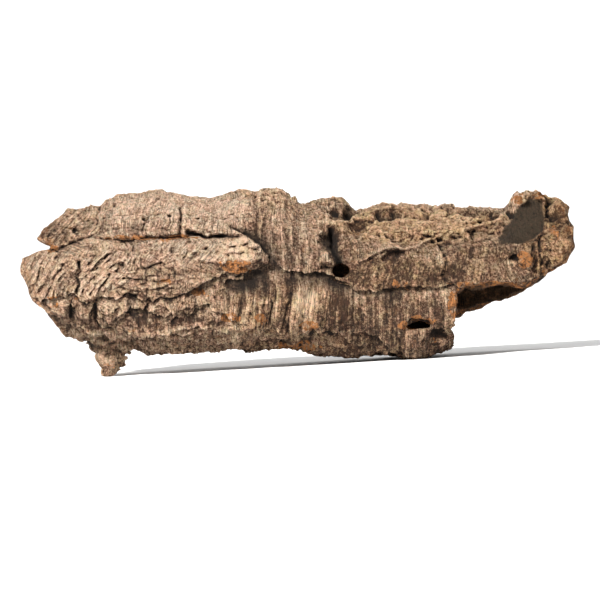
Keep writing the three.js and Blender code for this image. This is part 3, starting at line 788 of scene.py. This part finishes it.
def buildField(tables):
    ys, zs = [np.arange(table["low" + way], table["high" + way], table["step"]).astype(np.float32)
              for way in "YZ"]
    y, z = np.meshgrid(ys, zs, indexing="ij")
    field = np.empty((len(xs), len(ys), len(zs)), np.float32)
    for i, x in enumerate(xs):
        place = pixelX(x)
        f = rollField(tables, i, x, y, z)
        for flap in flaps:
            if nears(place, [flap["root"][0], flap["tip"][0]], "flap"):
                f = np.minimum(f, flapField(flap, x, y, z))
        if place > breakage["from"] - breakage["margin"]:
            f = np.maximum(f, breakCut(x, y, z))
        if nears(place, [p[0] for p in scarFacet["outline"]], "scar"):
            f = np.maximum(f, scarCut(x, y, z))
        for hole in holes:
            if nears(place, [hole["at"][0]], "hole"):
                f = np.maximum(f, holeCut(hole, x, y, z))
        standing = -x * math.sin(lay["tilt"]) + z * math.cos(lay["tilt"]) + lay["shift"][2]
        field[i] = np.maximum(f, -standing)
    limit = 2 * table["step"]
    return np.clip(field, -limit, limit)


# Which points belong to the largest body, so that loose specks drop out
def largestIsland(count, faces):
    label = np.arange(count)
    a, b = faces.ravel(), np.roll(faces, 1, axis=1).ravel()
    while True:
        low = np.minimum(label[a], label[b])
        new = label.copy()
        np.minimum.at(new, a, low)
        np.minimum.at(new, b, low)
        new = new[new]
        if np.array_equal(new, label):
            return label == np.bincount(label).argmax()
        label = new


def meshFromField(name, field):
    grid = openvdb.FloatGrid(2 * table["step"])
    grid.copyFromArray(field)
    points, quads = grid.convertToQuads(0.0)
    kept = largestIsland(len(points), quads)
    number = np.cumsum(kept) - 1
    quads = number[quads[kept[quads[:, 0]]]]
    points = points[kept] * table["step"] + np.array([table["lowX"], table["lowY"], table["lowZ"]])
    mesh = bpy.data.meshes.new(name)
    mesh.vertices.add(len(points))
    mesh.vertices.foreach_set("co", points.astype(np.float32).ravel())
    mesh.loops.add(quads.size)
    mesh.loops.foreach_set("vertex_index", quads.astype(np.int32).ravel())
    mesh.polygons.add(len(quads))
    mesh.polygons.foreach_set("loop_start", np.arange(0, quads.size, 4, dtype=np.int32))
    mesh.update(calc_edges=True)
    mesh.validate()
    return mesh


reducing = {"triangles": 198000, "levels": 20, "least": 0.02, "factor": 3}


# Reduced mesh; keep is 1 where the detail matters most and 0 where it doesn't
def reduced(mesh, keep):
    piece = bpy.data.objects.new("reducing", mesh)
    scene.collection.objects.link(piece)
    group = piece.vertex_groups.new(name="coarse")
    levels = np.round(np.clip(1 - keep, reducing["least"], 1) * reducing["levels"]).astype(int)
    for level in np.unique(levels):
        group.add(np.nonzero(levels == level)[0].tolist(), max(level, 1) / reducing["levels"], "REPLACE")
    reduce = piece.modifiers.new("Reduce", "DECIMATE")
    reduce.vertex_group = group.name
    reduce.vertex_group_factor = reducing["factor"]
    reduce.ratio = min(1, reducing["triangles"] / (2 * len(mesh.polygons)))
    result = bpy.data.meshes.new_from_object(piece.evaluated_get(bpy.context.evaluated_depsgraph_get()))
    bpy.data.objects.remove(piece)
    bpy.data.meshes.remove(mesh)
    return result


def coordinates(mesh):
    values = np.empty(3 * len(mesh.vertices), np.float32)
    mesh.vertices.foreach_get("co", values)
    return values.reshape(-1, 3)


# The bore's face takes few triangles, the crust and most of all its front takes many
def detailWanted(mesh, tables):
    x, y, z = coordinates(mesh).T
    radius, row, turn = polar(x, y, z, np.interp(x, xs, axisAt))
    outer, bore = readTable(tables["outer"], row, turn), readTable(tables["bore"], row, turn)
    crust = 1 - smoothstep((outer - radius) / np.maximum(outer - bore, 1), 0.7, 0.95)
    facing = smoothstep(-y / radius, -0.5, 0.2)
    return crust * (0.3 + 0.7 * facing)


def addMask(mesh, name, values):
    mask = mesh.attributes.new(name, "FLOAT", "POINT")
    mask.data.foreach_set("value", np.clip(values, 0, 1).astype(np.float32))


def maskMesh(mesh, tables):
    x, y, z = coordinates(mesh).T
    axis = np.interp(x, xs, axisAt)
    radius, row, turn = polar(x, y, z, axis)
    turnIn = slanted(tables, radius, row, turn)
    outer = readTable(tables["outer"], row, turnIn)
    bore = readTable(tables["bore"], row, turn)
    depth = (outer - radius) / np.maximum(outer - bore, 1)
    end = readTable(tables["fromEnd"], row, turn)
    nearEnd = 1 - smoothstep(end, 1, 9)
    cutFace = smoothstep(depth, 0.12, 0.3) * (1 - nearEnd)
    flap = smoothstep(radius - outer, 0.6, 2)
    colours = colourMasks(x, y, z, -y / radius)
    scar = colours["scar"]
    addMask(mesh, "inside", smoothstep(depth, 0.72, 0.95) * (1 - scar))
    addMask(mesh, "fresh", np.maximum(cutFace * (1 - smoothstep(depth, 0.75, 1)), 0.3 * nearEnd) * (1 - scar))
    # Recesses, darkened in the material as painted shade
    addMask(mesh, "deep", readTable(tables["deep"], row, turnIn) * (1 - scar) * (1 - flap))
    # The small relief, which the material turns into painted highlights on crests and painted shade in
    # creases
    fine = lerp(readTable(tables["fine"], row, turnIn), chips(x / 2, y, z, 3.5), flap)
    addMask(mesh, "fine", 0.5 + fine / 2.4)
    for name in ("comb", "lower"):
        addMask(mesh, name, readTable(tables[name], row, turnIn))
    for name, values in colours.items():
        addMask(mesh, name, values)
    along = leaned(x, z, smoothstep(-y / radius, -0.1, 0.2)) * mm
    mesh.attributes.new("along", "FLOAT", "POINT").data.foreach_set("value", along.astype(np.float32))


def layDown(mesh):
    points = coordinates(mesh)
    c, s = math.cos(lay["tilt"]), math.sin(lay["tilt"])
    x, y, z = points.T
    placed = np.stack([x * c + z * s, y, -x * s + z * c], axis=1) + np.array(lay["shift"])
    placed[:, 2] = np.maximum(placed[:, 2], 0)
    mesh.vertices.foreach_set("co", (placed * mm).astype(np.float32).ravel())
    mesh.polygons.foreach_set("use_smooth", np.ones(len(mesh.polygons), bool))
    mesh.update()


# Material

# A short way to add nodes to a tree and wire them up
class Nodes:
    def __init__(self, tree):
        self.tree = tree

    def add(self, kind, inputs=None, **settings):
        node = self.tree.nodes.new(kind)
        for key, value in settings.items():
            setattr(node, key, value)
        for key, value in (inputs or {}).items():
            socket = node.inputs[key]
            if isinstance(value, bpy.types.NodeSocket):
                self.tree.links.new(value, socket)
            else:
                socket.default_value = value
        return node

    def math(self, operation, *values):
        return self.add("ShaderNodeMath", dict(enumerate(values)), operation=operation).outputs[0]

    # The base with so much of what the value is over or under its middle
    def push(self, base, value, amount):
        return self.math("MULTIPLY_ADD", self.math("SUBTRACT", value, 0.5), amount, base)

    def mix(self, factor, a, b, blend="MIX"):
        node = self.add("ShaderNodeMix", data_type="RGBA", blend_type=blend)
        for socket, value in ((node.inputs[0], factor), (node.inputs[6], a), (node.inputs[7], b)):
            if isinstance(value, bpy.types.NodeSocket):
                self.tree.links.new(value, socket)
            else:
                socket.default_value = value
        return node.outputs[2]

    def ramp(self, value, low, high, to=(0, 1)):
        node = self.add("ShaderNodeMapRange", {0: value, 1: low, 2: high, 3: to[0], 4: to[1]})
        node.interpolation_type = "SMOOTHSTEP"
        return node.outputs[0]

    def attribute(self, name):
        return self.add("ShaderNodeAttribute", attribute_name=name).outputs["Fac"]

    def noise(self, vector, scale, detail=3, rough=0.6, distortion=0.0):
        node = self.add("ShaderNodeTexNoise", {"Vector": vector, "Scale": scale, "Detail": detail,
                                               "Roughness": rough, "Distortion": distortion})
        return node.outputs["Fac"]


def newGroup(name, inputs, outputs):
    group = bpy.data.node_groups.new(name, "ShaderNodeTree")
    for label, kind, value in inputs:
        socket = group.interface.new_socket(label, in_out="INPUT", socket_type=kind)
        if value is not None:
            socket.default_value = value
    for label, kind in outputs:
        group.interface.new_socket(label, in_out="OUTPUT", socket_type=kind)
    return group, Nodes(group), group.nodes.new("NodeGroupInput"), group.nodes.new("NodeGroupOutput")


# Lines of the comb, crumbs, pits and hair cracks, and the height that they make together
def grainGroup():
    group, n, start, end = newGroup(
        "BarkGrain", [("Comb", "NodeSocketFloat", 0.5), ("Along", "NodeSocketFloat", 0)],
        [("Lines", "NodeSocketFloat"), ("Crumbs", "NodeSocketFloat"), ("Pits", "NodeSocketFloat"),
         ("Cracks", "NodeSocketFloat"), ("Height", "NodeSocketFloat")])
    place = n.add("ShaderNodeTexCoord").outputs["Object"]
    split = n.add("ShaderNodeSeparateXYZ", {0: place})
    lineSpace = n.add("ShaderNodeCombineXYZ", {
        0: start.outputs["Along"], 1: n.math("MULTIPLY", split.outputs["Y"], 0.06),
        2: n.math("MULTIPLY", split.outputs["Z"], 0.06)}).outputs[0]
    coarse = n.noise(lineSpace, 600, 3, 0.65, 0.2)
    thin = n.noise(lineSpace, 1700, 2, 0.6)
    broad = n.noise(lineSpace, 190, 2, 0.5)
    lines = n.math("ADD", n.math("MULTIPLY", coarse, 0.4), n.math("MULTIPLY", thin, 0.25))
    lines = n.math("MULTIPLY_ADD", broad, 0.35, lines)
    crumbs = n.noise(place, 850, 5, 0.8)
    pits = n.ramp(n.noise(place, 560, 3, 0.65), 0.6, 0.65)
    hair = n.math("MULTIPLY", n.ramp(n.math("ABSOLUTE", n.math("SUBTRACT", coarse, 0.5)), 0.03, 0.008),
                  n.ramp(start.outputs["Comb"], 0.05, 0.35))
    veins = n.math("ABSOLUTE", n.math("SUBTRACT", n.noise(place, 190, 5, 0.62, 0.3), 0.5))
    broken = n.ramp(n.noise(place, 150, 3, 0.6), 0.44, 0.56)
    cracks = n.math("MAXIMUM", hair, n.math("MULTIPLY", n.ramp(veins, 0.014, 0.004), broken))
    lineShare = n.math("MULTIPLY", start.outputs["Comb"], n.math("SUBTRACT", lines, 0.5))
    height = n.math("ADD", n.math("MULTIPLY", lineShare, 2.2),
                    n.math("MULTIPLY", n.math("SUBTRACT", crumbs, 0.5), 2.6))
    height = n.math("SUBTRACT", height, n.math("MULTIPLY", n.math("MAXIMUM", pits, cracks), 0.5))
    for label, value in (("Lines", lines), ("Crumbs", crumbs), ("Pits", pits), ("Cracks", cracks),
                         ("Height", height)):
        group.links.new(value, end.inputs[label])
    return group


# The near black is the colour of painted shade in recesses, creases, pits and cracks
barkColours = {
    "tan": (0.56, 0.395, 0.265, 1), "grey": (0.3, 0.197, 0.13, 1), "plum": (0.16, 0.097, 0.064, 1),
    "umber": (0.078, 0.044, 0.027, 1), "paintedShade": (0.014, 0.009, 0.006, 1), "orange": (0.62, 0.235, 0.07, 1),
    "fresh": (0.37, 0.18, 0.08, 1), "inner": (0.1, 0.052, 0.024, 1), "pale": (0.88, 0.7, 0.52, 1),
    "scar": (0.042, 0.031, 0.019, 1), "warm": (1.0, 0.9, 0.7, 1), "pink": (1.06, 0.92, 0.93, 1),
    "olive": (0.94, 0.97, 0.82, 1),
}
# How light the bark is, what each of its effects adds to that, and how deep its grain is in metres. Of the
# effects, upward is painted light on faces that look up, relief paints highlights on crests and shade in
# hollows, the tone is partly painted shade and highlight, and crumbs and lines paint shade in the grain's
# grooves and highlights on its tips as well as giving its own tone
barkLook = {"light": 0.58, "patches": 0.9, "upward": 0.16, "tone": 0.9, "relief": 0.9, "crumbs": 3.2,
            "lines": 3.3, "flecks": 1.6, "grain": 0.0045, "roughness": 0.93, "shine": 0.18}


def barkMaterial():
    material = bpy.data.materials.new("cork_bark")
    material.use_nodes = True
    tree = material.node_tree
    tree.nodes.clear()
    n = Nodes(tree)
    c = barkColours
    grain = n.add("ShaderNodeGroup", node_tree=grainGroup())
    comb = n.attribute("comb")
    tree.links.new(comb, grain.inputs["Comb"])
    tree.links.new(n.attribute("along"), grain.inputs["Along"])
    lines, crumbs, pits, cracks = [grain.outputs[k] for k in ("Lines", "Crumbs", "Pits", "Cracks")]
    deep, fine, inside, fresh, lower = [n.attribute(k) for k in ("deep", "fine", "inside", "fresh", "lower")]
    fleck, tone, warm, scar = [n.attribute(k) for k in ("fleck", "tone", "warm", "scar")]
    place = n.add("ShaderNodeTexCoord").outputs["Object"]
    normal = n.add("ShaderNodeNewGeometry").outputs["Normal"]
    up = n.add("ShaderNodeSeparateXYZ", {0: normal}).outputs["Z"]

    # How light the bark is: by its patches, by painted light on faces that look up, by its tone, which is
    # partly painted shade and highlight, by painted highlights and shade from its relief, and by its grain,
    # whose lighter tips and darker grooves are partly painted highlight and shade
    patches = n.noise(place, 45, 4, 0.65, 0.5)
    light = n.push(barkLook["light"], patches, barkLook["patches"])
    # Painted light from above: faces that look up are made lighter
    light = n.math("MULTIPLY_ADD", up, barkLook["upward"], light)
    # Tone, which is partly painted shade and painted highlight
    light = n.push(light, tone, barkLook["tone"])
    # Painted highlights on small crests and painted shade in small hollows
    light = n.push(light, fine, barkLook["relief"])
    # The grain's crumbs: their own tone, and painted highlight on the tips and painted shade in the hollows,
    # where the bump rises and falls with them
    light = n.push(light, crumbs, barkLook["crumbs"])
    # The comb lines: their own tone, and painted shade in their grooves and painted highlight on their teeth,
    # where the bump follows them
    lineShare = n.math("MULTIPLY", comb, n.math("SUBTRACT", lines, 0.5))
    light = n.math("MULTIPLY_ADD", lineShare, barkLook["lines"], light)
    colour = n.mix(n.ramp(light, 0.12, 0.4), c["umber"], c["plum"])
    colour = n.mix(n.ramp(light, 0.3, 0.52), colour, c["grey"])
    colour = n.mix(n.ramp(light, 0.45, 0.75), colour, c["tan"])
    colour = n.mix(n.ramp(light, 0.75, 1.15), colour, c["pale"])
    colour = n.mix(n.math("MULTIPLY", warm, 0.8), colour, c["warm"], "MULTIPLY")
    colour = n.mix(n.ramp(n.noise(place, 240, 4, 0.75), 0.6, 0.4), colour, c["pink"], "MULTIPLY")
    mossy = n.ramp(n.noise(place, 210, 4, 0.75, 0.5), 0.46, 0.62)
    mossy = n.math("MULTIPLY", mossy, n.math("MULTIPLY_ADD", warm, 0.6, 0.4))
    colour = n.mix(mossy, colour, c["olive"], "MULTIPLY")
    rusty = n.ramp(n.noise(place, 150, 4, 0.7), 0.6, 0.72)
    colour = n.mix(n.math("MULTIPLY", rusty, 0.55), colour, c["fresh"])
    flecks = n.math("MAXIMUM", fleck, n.math("MULTIPLY", lower, 0.35))
    flecks = n.push(flecks, n.noise(place, 330, 4, 0.75), barkLook["flecks"])
    flecks = n.ramp(flecks, 0.55, 0.68)
    speckle = n.noise(place, 260, 4, 0.7)
    raw = n.mix(n.ramp(crumbs, 0.38, 0.6), c["fresh"], c["orange"])
    colour = n.mix(flecks, colour, n.mix(n.ramp(speckle, 0.56, 0.74), raw, c["tan"]))
    colour = n.mix(fresh, colour, n.mix(n.ramp(speckle, 0.4, 0.62), c["inner"], c["orange"]))
    colour = n.mix(inside, colour, n.mix(n.ramp(speckle, 0.48, 0.8), c["inner"], c["fresh"]))
    colour = n.mix(scar, colour, n.mix(n.ramp(crumbs, 0.42, 0.7), c["scar"], c["umber"]))
    # Painted shade: recesses darkened towards near black
    colour = n.mix(n.ramp(deep, 0.5, 1.0, (0, 0.9)), colour, c["paintedShade"])
    # Painted shade in narrow creases
    colour = n.mix(n.math("MULTIPLY", n.ramp(fine, 0.32, 0.06), 0.8), colour, c["paintedShade"])
    # Painted shade in the pits and hair cracks
    colour = n.mix(n.math("MULTIPLY", n.math("MAXIMUM", pits, cracks), 0.75), colour, c["paintedShade"])

    height = n.math("MULTIPLY", grain.outputs["Height"], n.math("MULTIPLY_ADD", scar, -0.6, 1.0))
    bump = n.add("ShaderNodeBump", {"Strength": 1.0, "Distance": barkLook["grain"], "Height": height})
    shader = n.add("ShaderNodeBsdfPrincipled", {
        "Base Color": colour, "Roughness": barkLook["roughness"], "Specular IOR Level": barkLook["shine"],
        "Normal": bump.outputs[0]})
    out = n.add("ShaderNodeOutputMaterial")
    tree.links.new(shader.outputs[0], out.inputs[0])
    return material


# Build

tables = buildTables()
print("tables made", tables["outer"].shape)
field = buildField(tables)
print("field made", field.shape)
mesh = meshFromField("cork_bark_tube_skin", field)
print("meshed", len(mesh.polygons), "quads")
mesh = reduced(mesh, detailWanted(mesh, tables))
mesh.name = "cork_bark_tube_skin"
print("reduced to", len(mesh.loops) - 2 * len(mesh.polygons), "triangles")
maskMesh(mesh, tables)
layDown(mesh)
skin = bpy.data.objects.new("cork_bark_tube_skin", mesh)
scene.collection.objects.link(skin)
mesh.materials.append(barkMaterial())
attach(skin, "root")
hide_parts("cork_bark_tube")


# Stage

view = {"lens": 180, "sensor": 36, "elevation": 1, "aimX": 1.9, "aimZ": -10.9}
world = {"colour": (1, 1, 1, 1), "strength": 0.28}


def plainMaterial(name, colour):
    material = bpy.data.materials.new(name)
    material.use_nodes = True
    shader = material.node_tree.nodes["Principled BSDF"]
    shader.inputs["Base Color"].default_value = (*colour, 1)
    shader.inputs["Roughness"].default_value = 0.9
    return material


# A pale floor that sweeps up behind the tube
def addStage():
    sweep = {"front": -3.0, "back": 2.2, "radius": 0.8, "height": 3.0, "halfWidth": 4.0, "steps": 16}
    profile = [(sweep["front"], 0), (sweep["back"], 0)]
    for i in range(1, sweep["steps"] + 1):
        turn = math.pi / 2 * i / sweep["steps"]
        profile.append((sweep["back"] + sweep["radius"] * math.sin(turn),
                        sweep["radius"] * (1 - math.cos(turn))))
    profile.append((sweep["back"] + sweep["radius"], sweep["height"]))
    w = sweep["halfWidth"]
    vertices = [(x, y, z - 0.0002) for y, z in profile for x in (-w, w)]
    faces = [(2 * i, 2 * i + 1, 2 * i + 3, 2 * i + 2) for i in range(len(profile) - 1)]
    floorMesh = bpy.data.meshes.new("studio_floor")
    floorMesh.from_pydata(vertices, [], faces)
    floorMesh.polygons.foreach_set("use_smooth", [True] * len(faces))
    floor = bpy.data.objects.new("studio_floor", floorMesh)
    floorMesh.materials.append(plainMaterial("studio_white", (0.88, 0.88, 0.88)))
    scene.collection.objects.link(floor)


def addCamera():
    camera = bpy.data.cameras.new("camera")
    camera.lens = view["lens"]
    camera.sensor_width = view["sensor"]
    camera.clip_end = 50
    frameWidth = photo["width"] * photo["pixel"] * mm
    distance = frameWidth * view["lens"] / view["sensor"]
    c, s = math.cos(lay["tilt"]), math.sin(lay["tilt"])
    x, z = view["aimX"], view["aimZ"]
    target = Vector((x * c + z * s + lay["shift"][0], lay["shift"][1], -x * s + z * c + lay["shift"][2])) * mm
    up = Vector((s, 0, c))
    elevation = math.radians(view["elevation"])
    backwards = Vector((0, -1, 0)) * math.cos(elevation) + up * math.sin(elevation)
    right = Vector((c, 0, -s))
    place = bpy.data.objects.new("camera", camera)
    turn = Matrix((right, backwards.cross(right), backwards)).transposed()
    place.matrix_world = Matrix.Translation(target + backwards * distance) @ turn.to_4x4()
    scene.collection.objects.link(place)
    scene.camera = place


def addLight(name, size, energy, place, target=(0, 0, 0.05), colour=(1, 1, 1)):
    lamp = bpy.data.lights.new(name, "AREA")
    lamp.shape = "DISK"
    lamp.size = size
    lamp.energy = energy
    lamp.color = colour
    light = bpy.data.objects.new(name, lamp)
    light.location = place
    light.rotation_euler = (Vector(target) - Vector(place)).to_track_quat("-Z", "Y").to_euler()
    scene.collection.objects.link(light)


def addLights():
    addLight("key", 0.25, 80, (-0.75, -1.0, 1.0), colour=(1, 0.98, 0.945))
    addLight("fill", 1.4, 4, (0.3, -1.9, 0.5))
    addLight("backdrop", 1.5, 60, (0, 0.9, 2.4), target=(0, 3.0, 0.7))
    studio = bpy.data.worlds.new("studio")
    studio.use_nodes = True
    background = studio.node_tree.nodes["Background"]
    background.inputs["Color"].default_value = world["colour"]
    background.inputs["Strength"].default_value = world["strength"]
    scene.world = studio
    scene.view_settings.view_transform = "Standard"


addStage()
addCamera()
addLights()
print("stage, camera and lights set")
